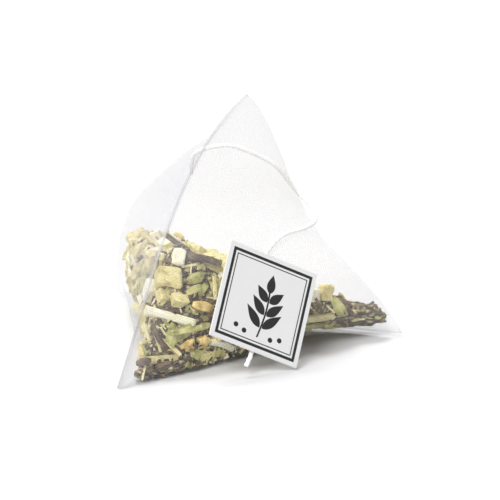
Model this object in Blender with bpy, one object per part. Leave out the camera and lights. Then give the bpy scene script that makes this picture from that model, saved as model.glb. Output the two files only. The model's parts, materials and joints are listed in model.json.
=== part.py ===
"""Pyramid tea bag: a see-through mesh bag with its string, its paper tag and a loose herb blend.

Units are metres and +Z is up. The bag stands on one of its four faces. The origin is on the floor
under the middle of the bag's box, with X to the right and Y away from someone facing the tag.
"""
import math
import random

import bmesh
import bpy
import numpy as np
from mathutils import Euler, Matrix, Vector
from mathutils.bvhtree import BVHTree

# The bag: a tube of mesh, welded flat at both ends along two crossing seals
SEAL_LENGTH = 0.067
WALL = 0.0003
SEAL_WIDTH = 0.0012
SEAL_THICKNESS = 0.0003
FLOOR_BLEND = 0.0007
PORE = 0.0005

# How the filled bag sits, in shares of the seal length
FRONT_CORNER = np.array([0.0, 0.0, 0.006])
APEX = np.array([0.380, 0.449, 0.787])
RIGHT_CORNER = np.array([0.862, 0.554, 0.006])
BACK_CORNER = np.array([-0.028, 1.000, 0.006])
FRONT_SEAL_BOW = np.array([-0.0425, 0.073, 0.0305])
FRONT_SEAL_SKEW = 0.6
BACK_SEAL_BOW = np.array([0.0, -0.051, 0.0])
TUBE_SHARE = 0.87
MIDDLE_SHIFT = np.array([0.0225, 0.020, 0.0185])
ENDS_SHIFT = np.array([-0.013, -0.052, 0.026])
GIRTH_LOSS = 0.02
OPENING_LEAD = -0.12

# Where the herbs swell the skin and where it is drawn in: the amount and its way, in shares of the
# seal length; the side (+1 front, -1 back); the middle and reach along the bag; and across it
SWELLINGS = (
    (0.138, np.array([-1.0, 0.23, 0.10]), -1, 0.40, 0.28, 0.90, 0.87),
    (0.058, np.array([-1.0, -0.3, -0.1]), +1, 0.50, 0.30, 0.74, 0.30),
    (0.022, np.array([0.53, -0.82, 0.20]), +1, 0.45, 0.25, 0.00, 0.45),
)
SWELLING_FADE = 1.3

# How finely the skin is divided, and which of its cells have a pore
RINGS = 29
SIDES = 56
PORE_STEP_ALONG = 3
PORE_STEP_AROUND = 4
PORE_LIFT = 0.004

# The string and the paper tag
STRING_DIAMETER = 0.0010
TAG_SIDE = 0.0203
TAG_THICKNESS = 0.0004
TAG_PLACE = Vector((0.02885, 0.01572, 0.01295))
TAG_TURN = Euler((math.radians(-35.3), math.radians(12.4), math.radians(29.7)), "ZYX")

# The herb blend: length, width and thickness of each kind of piece
CHUNK = (0.0048, 0.0038, 0.0034)
STICK = (0.0100, 0.0021, 0.0019)
SLAT = (0.0080, 0.0013, 0.0008)
CURL = (0.0056, 0.0024, 0.0007)
FLAKE = (0.0036, 0.0018, 0.0005)
BLOSSOM = (0.0034, 0.0032, 0.0016)
HERB_SPREAD = 0.15
FILL_COUNT = 20
FILL_TRIES = 26
FILL_STEP = 0.0005
SLIDE_STEP = 0.0004
SLIDE_LIMIT = 0.030
HEAP_LEFT = 0.0180
HEAP_RIGHT = 0.0055

# Gap between pieces that touch
CLEARANCE = 0.0003

# The way a piece is first slid in from the wall that it is seen through: back, and a little down
INWARD = Vector((0.0, 0.964, -0.264))


def start_afresh():
    """Remove what the scene holds and make the collection for the tea bag."""
    for thing in list(bpy.data.objects):
        bpy.data.objects.remove(thing, do_unlink=True)
    group = bpy.data.collections.new("pyramid_tea_bag")
    bpy.context.scene.collection.children.link(group)
    return group


def material(name, colour, roughness, alpha=1.0):
    """A plain Principled material."""
    made = bpy.data.materials.new(name)
    made.use_nodes = True
    shader = made.node_tree.nodes["Principled BSDF"]
    shader.inputs["Base Color"].default_value = (*colour, 1.0)
    shader.inputs["Roughness"].default_value = roughness
    shader.inputs["Alpha"].default_value = alpha
    made.diffuse_color = (*colour, alpha)
    return made


def add_object(group, name, mesh, finish):
    """Put a mesh into the tea bag's collection under a node name."""
    thing = bpy.data.objects.new(name, mesh)
    mesh.materials.clear()
    mesh.materials.append(finish)
    group.objects.link(thing)
    return thing


def bowed_line(start, end, bow, skew, t):
    """Point at t, from -1 at start to +1 at end, on a line that is bowed out in its middle."""
    t = np.asarray(t, float)[..., None]
    return (start + end) / 2 + (end - start) / 2 * t + bow * (1 - t ** 2) * (1 + skew * t)


def even_ellipse(half_x, half_y, count):
    """Cosines and sines of an ellipse's points, spaced evenly along its girth, and the girth."""
    fine = np.linspace(0.0, math.pi / 2, 181)
    run = np.hypot(np.diff(np.cos(fine)) * half_x, np.diff(np.sin(fine)) * half_y)
    run = np.concatenate([[0.0], np.cumsum(run)])
    quarter = count // 4
    rise = np.interp(np.arange(quarter) / quarter, run / run[-1], fine)
    fall = math.pi - np.append(rise[1:], math.pi / 2)[::-1]
    half = np.concatenate([rise, fall])
    angle = np.concatenate([half, half + math.pi])
    return np.cos(angle), np.sin(angle), 4 * run[-1]


def rest_on_floor(height, floor):
    """Heights with all that lies below the floor pressed flat on it, through a short round bend."""
    above = height - floor
    bend = (above + FLOOR_BLEND) ** 2 / (4 * FLOOR_BLEND)
    pressed = np.where(above < FLOOR_BLEND, bend, above)
    return floor + np.where(above < -FLOOR_BLEND, 0.0, pressed)


def bag_ring(along, inset):
    """One ring of the bag's skin, at a share from the front seal (0) to the back seal (1)."""
    size = SEAL_LENGTH
    front = [FRONT_CORNER * size, APEX * size, FRONT_SEAL_BOW * size, FRONT_SEAL_SKEW]
    back = [BACK_CORNER * size, RIGHT_CORNER * size, BACK_SEAL_BOW * size, 0.0]
    front_middle = bowed_line(*front, 0.0)
    back_middle = bowed_line(*back, 0.0)
    fin = SEAL_WIDTH / (size * TUBE_SHARE)
    body = min(max((along - fin) / (1 - 2 * fin), 0.0), 1.0)
    swell = math.sin(math.pi * body)
    opening = body * math.pi / 2 + OPENING_LEAD * math.sin(2 * math.pi * body)
    half_x, half_y = math.cos(opening), math.sin(opening)
    x, y, girth = even_ellipse(half_x, half_y, SIDES)
    grow = 4.0 / girth * (1 - GIRTH_LOSS * swell)
    flat = SEAL_THICKNESS / size
    tuck = 2 * inset / size
    reach_x = half_x * grow + flat * body - tuck * (1 + 3 * (1 - body) ** 2)
    reach_y = half_y * grow + flat * (1 - body) - tuck * (1 + 3 * body ** 2)
    ring = front_middle * (1 - along) + back_middle * along
    ring = ring + MIDDLE_SHIFT * size * swell + ENDS_SHIFT * size * math.sin(2 * math.pi * body)
    ring = ring + reach_x * (bowed_line(*front, x) - front_middle)
    ring = ring + reach_y * (bowed_line(*back, y) - back_middle)
    for amount, way, side, place, length, around, reach in SWELLINGS:
        weight = swell * math.exp(-((body - place) / length) ** 2)
        weight = weight * np.exp(-((x - around) / reach) ** 2)
        weight = weight * np.clip(side * y, 0, 1) ** SWELLING_FADE
        ring = ring + (amount * size * weight)[:, None] * way
    ring[:, 2] = rest_on_floor(ring[:, 2], inset)
    return ring


def bag_skins():
    """Rings of the outer skin, with two more at each seal, and rings of the cavity inside it."""
    fin = SEAL_WIDTH / (SEAL_LENGTH * TUBE_SHARE)
    body = [fin + (1 - 2 * fin) * k / RINGS for k in range(1, RINGS)]
    outer = [bag_ring(along, 0.0) for along in [0.0, fin] + body + [1 - fin, 1.0]]
    inner = [bag_ring(along, WALL) for along in body]
    return np.array(outer), np.array(inner)


def ring_faces(rows, first):
    """Quads between neighbouring rings of points, numbered from first."""
    quads = []
    for i in range(rows - 1):
        for j in range(SIDES):
            near = first + i * SIDES
            k = (j + 1) % SIDES
            quads.append((near + j, near + k, near + SIDES + k, near + SIDES + j))
    return quads


def flat_end(first, turn):
    """Quads that close a flattened ring across its short way; turn is a quarter for the back seal."""
    quads = []
    for j in range(SIDES // 2):
        ring = [turn + j, turn + j + 1, turn - j - 1, turn - j]
        corners = [first + n % SIDES for n in ring]
        quads.append(tuple(dict.fromkeys(corners)))
    return quads


def bag_mesh():
    """The bag as one closed body: outer skin, cavity, and square pores that join the two."""
    outer, inner = bag_skins()
    verts = [Vector(p) for p in np.concatenate([outer.reshape(-1, 3), inner.reshape(-1, 3)])]
    hollow = len(outer) * SIDES
    faces = flat_end(0, 0) + flat_end((len(outer) - 1) * SIDES, SIDES // 4)
    faces += flat_end(hollow, 0) + flat_end(hollow + (len(inner) - 1) * SIDES, SIDES // 4)
    outer_quads = ring_faces(len(outer), 0)
    inner_quads = ring_faces(len(inner), hollow)
    skipped = 2 * SIDES
    for n, wall in enumerate(outer_quads):
        band, side = n // SIDES, n % SIDES
        paired = 2 <= band < len(outer) - 3
        cavity = inner_quads[n - skipped] if paired else None
        porous = paired and band % PORE_STEP_ALONG == 0 and side % PORE_STEP_AROUND == 0
        if porous and min(verts[v].z for v in wall) > PORE_LIFT:
            faces += pore(verts, wall, cavity)
            continue
        faces.append(wall)
        if cavity:
            faces.append(cavity)
    mesh = bpy.data.meshes.new("bag")
    mesh.from_pydata(verts, [], faces)
    body = bmesh.new()
    body.from_mesh(mesh)
    bmesh.ops.recalc_face_normals(body, faces=body.faces)
    body.to_mesh(mesh)
    body.free()
    mesh.shade_smooth()
    return mesh


def pore(verts, wall, cavity):
    """Frames round a square hole through one cell of the wall, with the four sides of the hole."""
    rims = []
    quads = []
    for cell in (wall, cavity):
        a, b, c, d = (verts[v].copy() for v in cell)
        across = PORE / ((b - a).length + (c - d).length)
        deep = PORE / ((d - a).length + (c - b).length)
        rim = []
        for u, v in ((-across, -deep), (across, -deep), (across, deep), (-across, deep)):
            low = a.lerp(b, 0.5 + u)
            high = d.lerp(c, 0.5 + u)
            rim.append(len(verts))
            verts.append(low.lerp(high, 0.5 + v))
        for k in range(4):
            quads.append((cell[k], cell[(k + 1) % 4], rim[(k + 1) % 4], rim[k]))
        rims.append(rim)
    for k in range(4):
        nxt = (k + 1) % 4
        quads.append((rims[0][k], rims[0][nxt], rims[1][nxt], rims[1][k]))
    return quads


def finished(body, name):
    """Turn a bmesh into a mesh with its faces pointing out."""
    bmesh.ops.recalc_face_normals(body, faces=body.faces)
    mesh = bpy.data.meshes.new(name)
    body.to_mesh(mesh)
    body.free()
    return mesh


def chunk(size, rng):
    """A cut block of root: a cube with uneven corners and worn edges."""
    length, width, height = size
    body = bmesh.new()
    bmesh.ops.create_cube(body, size=1.0)
    for v in body.verts:
        v.co.x *= length * rng.uniform(0.84, 1.0)
        v.co.y *= width * rng.uniform(0.84, 1.0)
        v.co.z *= height * rng.uniform(0.84, 1.0)
    bmesh.ops.bevel(body, geom=body.edges[:], offset=0.1 * height, segments=1, affect="EDGES")
    return finished(body, "chunk")


def stick(size, rng):
    """A cut length of round stalk, slightly bent and flattened."""
    length, width, height = size
    body = bmesh.new()
    bmesh.ops.create_cone(body, cap_ends=True, segments=8, radius1=0.5, radius2=0.5, depth=1.0)
    upright = [e for e in body.edges if abs(e.verts[0].co.z - e.verts[1].co.z) > 0.5]
    bmesh.ops.subdivide_edges(body, edges=upright, cuts=2, use_grid_fill=True)
    bend = rng.uniform(-0.06, 0.06)
    for v in body.verts:
        along = v.co.z
        sag = bend * length * (1 - 4 * along ** 2)
        v.co = Vector((along * length, v.co.x * width + sag, v.co.y * height))
    return finished(body, "stick")


def strip(size, rng, curve, twist, taper):
    """A thin slat, leaf shred or peel: a bar bent into an arc, twisted and drawn in at its ends."""
    length, width, height = size
    body = bmesh.new()
    bmesh.ops.create_cube(body, size=1.0)
    lengthways = [e for e in body.edges if abs(e.verts[0].co.x - e.verts[1].co.x) > 0.5]
    bmesh.ops.subdivide_edges(body, edges=lengthways, cuts=5, use_grid_fill=True)
    arc = curve * rng.uniform(0.8, 1.2)
    for v in body.verts:
        along, side, up = v.co
        turn = Matrix.Rotation(twist * along * 2, 3, "X")
        slim = 1 - taper * (2 * along) ** 2
        radius = length / arc
        offset = turn @ Vector((0.0, side * width * slim, up * height))
        spot = Vector((math.sin(arc * along), 0.0, math.cos(arc * along) - 1)) * radius
        v.co = spot + Matrix.Rotation(arc * along, 3, "Y") @ offset
    return finished(body, "strip")


def slat(size, rng):
    """A straight split of stalk."""
    return strip(size, rng, 0.15, 0.1, 0.0)


def curl(size, rng):
    """A curled piece of peel or dried leaf."""
    return strip(size, rng, 1.4, 0.35, 0.45)


def flake(size, rng):
    """A small flat shred."""
    return strip(size, rng, 0.5, 0.25, 0.5)


def blossom(size, rng):
    """A dried flower head: a flattened ball with a lobed rim."""
    length, width, height = size
    body = bmesh.new()
    bmesh.ops.create_uvsphere(body, u_segments=15, v_segments=6, radius=0.5)
    start = rng.uniform(0.0, math.pi)
    for v in body.verts:
        lobe = 0.82 + 0.18 * math.cos(5 * (math.atan2(v.co.y, v.co.x) + start))
        v.co = Vector((v.co.x * length * lobe, v.co.y * width * lobe, v.co.z * height))
    return finished(body, "blossom")


KINDS = {
    "chunk": (chunk, CHUNK),
    "stick": (stick, STICK),
    "slat": (slat, SLAT),
    "curl": (curl, CURL),
    "flake": (flake, FLAKE),
    "blossom": (blossom, BLOSSOM),
}

HERBS = {
    "root": (0.60, 0.45, 0.22),
    "pith": (0.82, 0.75, 0.56),
    "bark": (0.26, 0.18, 0.12),
    "leaf": (0.34, 0.37, 0.17),
    "straw": (0.64, 0.60, 0.34),
    "petal": (0.70, 0.36, 0.12),
}

# Pieces seen through the mesh: name, kind, herb, share along and around the skin, turn in degrees
# from the way around, and size against the kind's own
SEEN_PIECES = (
    ("cream_stick", "stick", "pith", 0.13, 0.38, 97, 1.05),
    ("dark_flake_front", "flake", "bark", 0.11, 0.45, 129, 0.90),
    ("dark_flake_low", "flake", "bark", 0.22, 0.45, 138, 1.00),
    ("root_cube", "chunk", "root", 0.07, 0.32, 105, 1.20),
    ("root_block_left", "chunk", "root", 0.28, 0.70, -105, 0.85),
    ("root_block_low", "chunk", "pith", 0.22, 0.66, -155, 1.00),
    ("pale_chunk", "chunk", "pith", 0.11, 0.35, 135, 0.85),
    ("pale_chunk_top", "chunk", "pith", 0.10, 0.29, 10, 0.72),
    ("leaf_curl_front", "curl", "leaf", 0.18, 0.31, 125, 0.93),
    ("stalk_top", "stick", "bark", 0.07, 0.27, 75, 0.55),
    ("stalk_brown", "stick", "bark", 0.19, 0.28, 100, 0.70),
    ("tan_peel", "curl", "root", 0.23, 0.29, 90, 0.82),
    ("pale_slat_upright", "slat", "straw", 0.26, 0.32, 25, 0.60),
    ("yellow_twist", "curl", "petal", 0.25, 0.35, 105, 0.80),
    ("dim_peel", "curl", "leaf", 0.20, 0.33, 140, 0.62),
    ("striped_stick", "stick", "bark", 0.14, 0.41, 55, 0.58),
    ("green_slat", "slat", "leaf", 0.23, 0.39, 127, 0.85),
    ("grey_flake", "flake", "leaf", 0.28, 0.38, 135, 0.80),
    ("slat_upright", "slat", "straw", 0.14, 0.42, 40, 0.45),
    ("orange_flower", "blossom", "petal", 0.27, 0.41, 137, 0.95),
    ("yellow_flower", "blossom", "petal", 0.31, 0.40, 112, 0.90),
    ("pale_stick_low", "stick", "pith", 0.38, 0.40, 112, 0.66),
    ("long_slat", "slat", "straw", 0.20, 0.44, 124, 1.20),
    ("long_slat_low", "slat", "leaf", 0.18, 0.45, 123, 0.95),
    ("red_bit", "flake", "petal", 0.07, 0.26, 80, 0.62),
    ("cream_chunk_right", "chunk", "pith", 0.53, 0.28, 33, 0.56),
    ("tan_chunk_right", "chunk", "root", 0.56, 0.27, 31, 0.72),
    ("yellow_chunk_right", "chunk", "root", 0.59, 0.29, 138, 0.85),
    ("striped_block_right", "chunk", "bark", 0.64, 0.28, 128, 0.80),
    ("pale_slat_right", "slat", "straw", 0.61, 0.31, 137, 1.10),
    ("olive_slat_right", "slat", "leaf", 0.62, 0.33, 133, 0.75),
    ("brown_chunk_right", "chunk", "bark", 0.71, 0.27, 137, 0.60),
    ("dark_strip_right", "slat", "bark", 0.74, 0.27, 144, 0.60),
    ("pink_petal", "flake", "petal", 0.78, 0.29, 173, 0.70),
    ("hazy_stalk", "stick", "straw", 0.36, 0.73, -87, 0.60),
)

# Kinds and herbs of the pieces that are dropped in behind them, taken in turn
FILL_KINDS = (
    ("chunk", "root"),
    ("slat", "straw"),
    ("curl", "leaf"),
    ("stick", "bark"),
    ("flake", "leaf"),
    ("chunk", "bark"),
    ("blossom", "petal"),
)

# The string's route in metres: from the cut end under the tag, over the skin and round its right
# side, then behind the bag to the weld on its rear left face
STRING_ROUTE = (
    (0.02537, 0.00900, 0.00212),
    (0.02655, 0.01117, 0.00478),
    (0.02735, 0.01450, 0.01003),
    (0.02835, 0.01844, 0.01617),
    (0.02915, 0.02151, 0.02094),
    (0.03051, 0.02342, 0.02306),
    (0.03318, 0.02583, 0.02476),
    (0.03718, 0.02931, 0.02510),
    (0.03940, 0.03300, 0.02570),
    (0.03900, 0.03650, 0.02740),
    (0.03700, 0.03900, 0.02900),
    (0.03481, 0.03952, 0.03137),
    (0.03161, 0.03982, 0.03535),
    (0.02800, 0.04041, 0.03747),
    (0.02528, 0.04069, 0.03859),
    (0.02210, 0.04087, 0.03955),
    (0.01893, 0.04151, 0.03923),
    (0.01686, 0.04208, 0.03857),
    (0.01487, 0.04309, 0.03731),
    (0.01409, 0.04505, 0.03511),
    (0.01388, 0.04736, 0.03216),
)
STRING_POINT_GAP = 2.4


def smooth_route(route, gap):
    """Points a gap apart on a smooth curve through the route's own points."""
    knots = np.array([2 * np.array(route[0]) - np.array(route[1]), *route,
                      2 * np.array(route[-1]) - np.array(route[-2])])
    fine = []
    for a, b, c, d in zip(knots, knots[1:], knots[2:], knots[3:]):
        for t in np.linspace(0.0, 1.0, 20, endpoint=False):
            bend = 2 * a - 5 * b + 4 * c - d
            swing = 3 * b - a - 3 * c + d
            fine.append((2 * b + (c - a) * t + bend * t ** 2 + swing * t ** 3) / 2)
    fine.append(knots[-2])
    fine = np.array(fine)
    run = np.concatenate([[0.0], np.cumsum(np.linalg.norm(np.diff(fine, axis=0), axis=1))])
    stations = np.linspace(0.0, run[-1], int(run[-1] / gap) + 1)
    return np.stack([np.interp(stations, run, fine[:, k]) for k in range(3)], axis=1)


def string_curve(bag):
    """The string as a round tube; wherever the route nears the bag it lies on the skin."""
    skin = BVHTree.FromPolygons(*body_of(bag))
    keep_off = STRING_DIAMETER / 2 + CLEARANCE
    curve = bpy.data.curves.new("string", "CURVE")
    curve.dimensions = "3D"
    curve.bevel_depth = STRING_DIAMETER / 2
    curve.bevel_resolution = 2
    curve.use_fill_caps = True
    points = smooth_route(STRING_ROUTE, STRING_POINT_GAP * STRING_DIAMETER)
    spline = curve.splines.new("POLY")
    spline.points.add(len(points) - 1)
    for knot, spot in zip(spline.points, points):
        spot = Vector(spot)
        near, normal, _, gap = skin.find_nearest(spot)
        if gap < keep_off:
            spot = near + normal * keep_off
        knot.co = (*spot, 1.0)
    return curve


def tag_mesh():
    """The square paper tag, leaning on the bag's front with one corner on the floor."""
    body = bmesh.new()
    bmesh.ops.create_cube(body, size=1.0)
    bmesh.ops.scale(body, vec=(TAG_SIDE, TAG_THICKNESS, TAG_SIDE), verts=body.verts)
    place = Matrix.Translation(TAG_PLACE) @ TAG_TURN.to_matrix().to_4x4()
    bmesh.ops.transform(body, matrix=place, verts=body.verts)
    return finished(body, "tag")


def body_of(mesh):
    """A mesh's points and faces, as the search tree takes them."""
    return [v.co.copy() for v in mesh.vertices], [tuple(p.vertices) for p in mesh.polygons]


def cavity_body():
    """Points and faces of the cavity's skin, facing into the cavity."""
    inner = bag_skins()[1]
    last = (len(inner) - 1) * SIDES
    body = bmesh.new()
    spots = [body.verts.new(p) for p in inner.reshape(-1, 3)]
    for face in ring_faces(len(inner), 0) + flat_end(0, 0) + flat_end(last, SIDES // 4):
        body.faces.new([spots[v] for v in face])
    mesh = finished(body, "cavity")
    mesh.flip_normals()
    return body_of(mesh)


def add_body(taken, mesh):
    """Add a mesh to the points and faces that are already taken."""
    points, faces = body_of(mesh)
    first = len(taken[0])
    taken[0].extend(points)
    taken[1].extend(tuple(first + v for v in face) for face in faces)


def swollen(mesh, matrix):
    """Points of a placed mesh pushed out by the clearance that it keeps from its neighbours."""
    turn = matrix.to_3x3()
    margin = 1.5 * CLEARANCE
    return [matrix @ v.co + turn @ v.normal * margin for v in mesh.vertices]


def is_free(points, faces, tree):
    """Whether a body at these points meets nothing and lies inside the cavity."""
    if tree.overlap(BVHTree.FromPolygons(points, faces)):
        return False
    middle = sum(points, Vector()) / len(points)
    near, normal, _, _ = tree.find_nearest(middle)
    return (middle - near).dot(normal) > 0


def skin_frame(along, around):
    """Point of the outer skin, and the ways across and out of it, at a share along and around."""
    spot = around * SIDES
    first = int(spot)
    rings = [bag_ring(along + step, 0.0) for step in (0.0, 0.01)]
    lines = [ring[first] + (ring[first + 1] - ring[first]) * (spot - first) for ring in rings]
    across = Vector(rings[0][first + 1] - rings[0][first]).normalized()
    onward = Vector(lines[1] - lines[0])
    onward = (onward - across * onward.dot(across)).normalized()
    return Vector(lines[0]), across, onward, across.cross(onward)


def lay_against_wall(mesh, along, around, turn, tree, middle):
    """Lay a piece flat inside the wall and slide it away from there until it meets nothing."""
    spot, across, onward, out = skin_frame(along, around)
    angle = math.radians(turn)
    lengthways = across * math.cos(angle) + onward * math.sin(angle)
    turned = Matrix((lengthways, out.cross(lengthways), out)).transposed().to_4x4()
    half = max(v.co.z for v in mesh.vertices)
    spot = spot - out * (WALL + CLEARANCE + half)
    faces = [tuple(p.vertices) for p in mesh.polygons]
    for n in range(int(SLIDE_LIMIT / SLIDE_STEP)):
        for way in (INWARD, -out, (middle - spot).normalized()):
            place = Matrix.Translation(spot + way * (n * SLIDE_STEP)) @ turned
            if is_free(swollen(mesh, place), faces, tree):
                mesh.transform(place)
                return
    raise ValueError("no room for a piece behind the wall at %.2f, %.2f" % (along, around))


def heap_top(x):
    """Height that the heap reaches at a distance from the front corner."""
    return HEAP_LEFT + (HEAP_RIGHT - HEAP_LEFT) * min(x / (0.75 * SEAL_LENGTH), 1.0)


def drop_in(mesh, tree, box, rng):
    """Drop a piece into the bag at the lowest of a few places where it fits under the heap's top."""
    low, high = box
    faces = [tuple(p.vertices) for p in mesh.polygons]
    best = None
    for attempt in range(40 * FILL_TRIES):
        if best and attempt >= FILL_TRIES:
            break
        spot = Vector((rng.uniform(low[0], high[0]), rng.uniform(low[1], high[1]), 0.0))
        spot.z = heap_top(spot.x)
        turned = Euler((rng.uniform(-0.4, 0.4), rng.uniform(-0.4, 0.4), rng.uniform(0, 6.28)))
        place = Matrix.Translation(spot) @ turned.to_matrix().to_4x4()
        points = swollen(mesh, place)
        if not is_free(points, faces, tree):
            continue
        fall = 0.0
        while is_free([p - Vector((0, 0, fall + FILL_STEP)) for p in points], faces, tree):
            fall += FILL_STEP
        if best is None or spot.z - fall < best[0]:
            best = (spot.z - fall, Matrix.Translation((0, 0, -fall)) @ place)
    mesh.transform(best[1])


def herb_meshes():
    """Names, meshes and herbs of all the loose pieces, each clear of the bag and of the others."""
    rng = random.Random(11)
    taken = cavity_body()
    spots = np.array(taken[0])
    box = spots.min(axis=0), spots.max(axis=0)
    middle = Vector(spots.mean(axis=0))
    middle.z = heap_top(middle.x) / 2
    pieces = []
    for name, kind, herb, along, around, turn, scale in SEEN_PIECES:
        shape, size = KINDS[kind]
        mesh = shape([side * scale for side in size], rng)
        lay_against_wall(mesh, along, around, turn, BVHTree.FromPolygons(*taken), middle)
        add_body(taken, mesh)
        pieces.append((name, mesh, herb))
    for n in range(FILL_COUNT):
        kind, herb = FILL_KINDS[n % len(FILL_KINDS)]
        shape, size = KINDS[kind]
        scale = 1 + rng.uniform(-HERB_SPREAD, HERB_SPREAD)
        mesh = shape([side * scale for side in size], rng)
        drop_in(mesh, BVHTree.FromPolygons(*taken), box, rng)
        add_body(taken, mesh)
        pieces.append(("%s_inside_%02d" % (kind, n + 1), mesh, herb))
    return pieces


def build():
    """Make every piece, then move the whole so that the origin is under the middle of the bag."""
    group = start_afresh()
    mesh_white = material("mesh_white", (0.93, 0.92, 0.94), 0.6, 0.4)
    string_white = material("string_white", (0.96, 0.96, 0.95), 0.9)
    tag_white = material("tag_white", (0.95, 0.95, 0.94), 0.7)
    herbs = {name: material("herb_" + name, colour, 0.85) for name, colour in HERBS.items()}
    bag = bag_mesh()
    add_object(group, "bag", bag, mesh_white)
    add_object(group, "string", string_curve(bag), string_white)
    add_object(group, "tag", tag_mesh(), tag_white)
    for name, mesh, herb in herb_meshes():
        add_object(group, name, mesh, herbs[herb])
    spots = np.array([v.co for v in bag.vertices])
    middle = (spots.min(axis=0) + spots.max(axis=0)) / 2
    for thing in group.objects:
        thing.data.transform(Matrix.Translation((-middle[0], -middle[1], 0.0)))


build()
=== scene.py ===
"""Dresses the pyramid tea bag: woven mesh, herb blend, twisted string and printed tag, on a pale floor."""
import json
import math

import bmesh
import bpy
import numpy as np
from mathutils import Euler, Matrix, Vector, noise
from mathutils.bvhtree import BVHTree


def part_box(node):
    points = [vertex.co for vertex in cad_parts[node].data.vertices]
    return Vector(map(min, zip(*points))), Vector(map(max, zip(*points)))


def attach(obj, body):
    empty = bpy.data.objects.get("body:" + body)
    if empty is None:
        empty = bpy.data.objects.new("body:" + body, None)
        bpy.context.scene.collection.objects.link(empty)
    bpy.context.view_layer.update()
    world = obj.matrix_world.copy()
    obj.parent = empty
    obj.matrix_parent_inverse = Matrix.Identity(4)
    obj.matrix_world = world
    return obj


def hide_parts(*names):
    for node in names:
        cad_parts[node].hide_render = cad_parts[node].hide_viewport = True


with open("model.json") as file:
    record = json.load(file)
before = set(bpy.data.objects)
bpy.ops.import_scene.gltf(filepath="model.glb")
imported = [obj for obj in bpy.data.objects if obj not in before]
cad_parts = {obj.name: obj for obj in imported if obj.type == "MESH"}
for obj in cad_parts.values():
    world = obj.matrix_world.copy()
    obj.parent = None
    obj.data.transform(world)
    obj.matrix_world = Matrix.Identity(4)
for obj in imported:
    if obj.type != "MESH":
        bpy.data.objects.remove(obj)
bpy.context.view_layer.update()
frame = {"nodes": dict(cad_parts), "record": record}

# Where the model's origin lies from the bag's front corner, and the sizes shared with the solids
SHIFT = np.array([-0.02762, -0.0335, 0.0])
SEAL_LENGTH = 0.067
SEAL_WIDTH = 0.0012
SEAL_THICKNESS = 0.0003
FLOOR_BLEND = 0.0007
STRING_DIAMETER = 0.0010
TAG_SIDE = 0.0203
TAG_THICKNESS = 0.0004
TAG_PLACE = Vector((0.02885, 0.01572, 0.01295)) + Vector(SHIFT)
TAG_TURN = Euler((math.radians(-35.3), math.radians(12.4), math.radians(29.7)), "ZYX")

# How the filled bag sits, in shares of the seal length
FRONT_CORNER = np.array([0.0, 0.0, 0.006])
APEX = np.array([0.380, 0.449, 0.787])
RIGHT_CORNER = np.array([0.862, 0.554, 0.006])
BACK_CORNER = np.array([-0.028, 1.000, 0.006])
FRONT_SEAL_BOW = np.array([-0.0425, 0.073, 0.0305])
FRONT_SEAL_SKEW = 0.6
BACK_SEAL_BOW = np.array([0.0, -0.051, 0.0])
TUBE_SHARE = 0.87
MIDDLE_SHIFT = np.array([0.0225, 0.020, 0.0185])
ENDS_SHIFT = np.array([-0.013, -0.052, 0.026])
GIRTH_LOSS = 0.02
OPENING_LEAD = -0.12

# Swellings: height, direction, side of the bag, place and reach along it, place and reach across it
SWELLINGS = (
    (0.138, np.array([-1.0, 0.23, 0.10]), -1, 0.40, 0.28, 0.90, 0.87),
    (0.058, np.array([-1.0, -0.3, -0.1]), +1, 0.50, 0.30, 0.74, 0.30),
    (0.022, np.array([0.53, -0.82, 0.20]), +1, 0.45, 0.25, 0.00, 0.45),
)
SWELLING_FADE = 1.3

# Roughness of every noise texture
NOISE_ROUGHNESS = 0.55

# Fineness of the woven skin, the weave's own sizes, its whites and tints, the grey of its painted shade, and
# its crumples: scale and height, and what is left of them near the floor
SKIN_RINGS = 150
SKIN_SIDES = 240
WEAVE_PITCH = 0.00030
THREAD_SHARE = 0.15
FILAMENT_WHITE = 0.34
WELD_WHITE = 0.26
MESH_TINTS = ((0.865, 0.86, 0.88), (0.895, 0.89, 0.905))
# Painted shade: the grey that the mesh turns to at its front fin and rear wall
MESH_PAINTED_SHADE = (0.56, 0.552, 0.60)
CRUMPLES = ((160.0, 0.00022), (420.0, 0.00007))
CRUMPLE_FLOOR = 0.0008
CRUMPLE_REST = 0.3

# Haze of the mesh at its rear, its front corner, its right and its upper part, and its painted shade at fin
# and rear
REAR_BLOOM = 0.42
REAR_FADE = 1.3
FIN_BLOOM = 0.30
FIN_REACH = 0.16
FIN_HEIGHT = 0.020
RIGHT_BLOOM = 0.07
RIGHT_START = 0.35
RIGHT_RUN = 0.4
HIGH_BLOOM = 0.15
HAZE_START = 0.018
HAZE_RISE = 0.010
FIN_PAINTED_SHADE = 1.8
REAR_PAINTED_SHADE = 1.50

# How finely the larger herb pieces are cut, and how rough each kind is
MERGE_GAP = 0.000002
FLAT_ANGLE = 0.02
ROUGH_LEVELS = 3
ROUGH_EDGE = 0.00035
ROUGH_SCALES = (700.0, 1900.0)
FLOWER_JITTER = 0.00085
CHUNK_JITTER = 0.00024
STALK_JITTER = 0.00008

# The bed of fine crumbs between the larger pieces, and how far it stays off the mesh
BED_GRID = 0.0008
BED_DEPTH = 0.0030
CORNER_DEPTH = 0.0008
CORNER_START = 0.036
CORNER_RUN = 0.010
FLOOR_START = 0.001
FLOOR_RUN = 0.003
PROP_DEPTH = 0.0012
PROP_START = 0.036
CRUMB_RADIUS = 0.0006
MESH_GAP = 0.0002
WALL_RINGS = 40
WALL_SIDES = 80

# The heap's top: its height at the left and at the right, its ripples, and its slope below a piece
HEAP_LEFT = 0.0175
HEAP_RIGHT = 0.0060
HEAP_RUN = 0.75 * SEAL_LENGTH
RIPPLE_HEIGHT = 0.0016
RIPPLE_SCALE = 230.0
PILE_SLOPE = 1.1
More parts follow.
